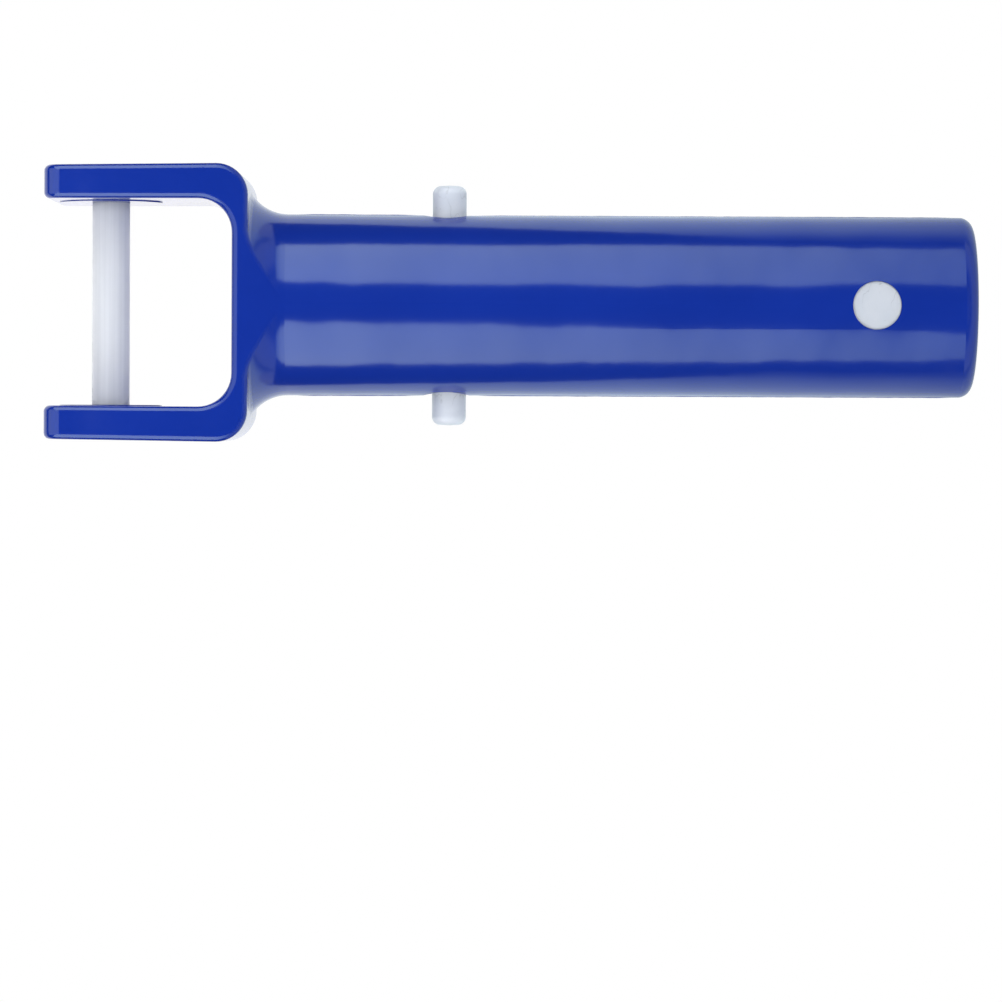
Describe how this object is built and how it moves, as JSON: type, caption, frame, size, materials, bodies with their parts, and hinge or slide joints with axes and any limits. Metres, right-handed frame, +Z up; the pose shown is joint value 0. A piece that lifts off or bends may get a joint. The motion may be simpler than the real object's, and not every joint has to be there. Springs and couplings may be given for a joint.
{
  "type": "swivel handle of a manual pool vacuum head",
  "caption": "Moulded swivel handle for a pool vacuum head: an open fork with a cross axle, a flared round tube, and sprung lock pins that catch in a pole.",
  "frame": {"origin": "centre of the axle, halfway between the fork's arms", "axes": "+X along the tube to its open end, +Y along the axle, +Z up out of the front face, with the handle lying flat on its back face"},
  "size_m": [0.147, 0.0438, 0.029],
  "materials": {
    "blue_plastic": "glossy moulded, slightly wavy",
    "axle_plastic": "satin white rod with fine lengthwise lines",
    "white_plastic": "slightly translucent white, semi-gloss"
  },
  "bodies": {
    "handle": {"handle_body": "blue_plastic", "cross_pin": "white_plastic", "clip_eye": "white_plastic"},
    "axle": {"axle_pin": "axle_plastic"},
    "upper_arm": {"upper_clip_arm": "white_plastic"},
    "lower_arm": {"lower_clip_arm": "white_plastic"}
  },
  "joints": [
    {"name": "axle_spin", "type": "hinge", "parent": "handle", "child": "axle", "pos_m": [0, 0, 0], "axis": [0, 1, 0], "continuous": true},
    {"name": "upper_pin_press", "type": "hinge", "parent": "handle", "child": "upper_arm", "pos_m": [0.1115, 0.0049, 0], "axis": [0, 0, 1], "range_deg": [0, 5], "stiffness_Nm_per_rad": 1.5, "springref_deg": -5.73},
    {"name": "lower_pin_press", "type": "hinge", "parent": "handle", "child": "lower_arm", "pos_m": [0.1115, -0.0049, 0], "axis": [0, 0, -1], "range_deg": [0, 5], "stiffness_Nm_per_rad": 1.5, "springref_deg": -5.73}
  ]
}
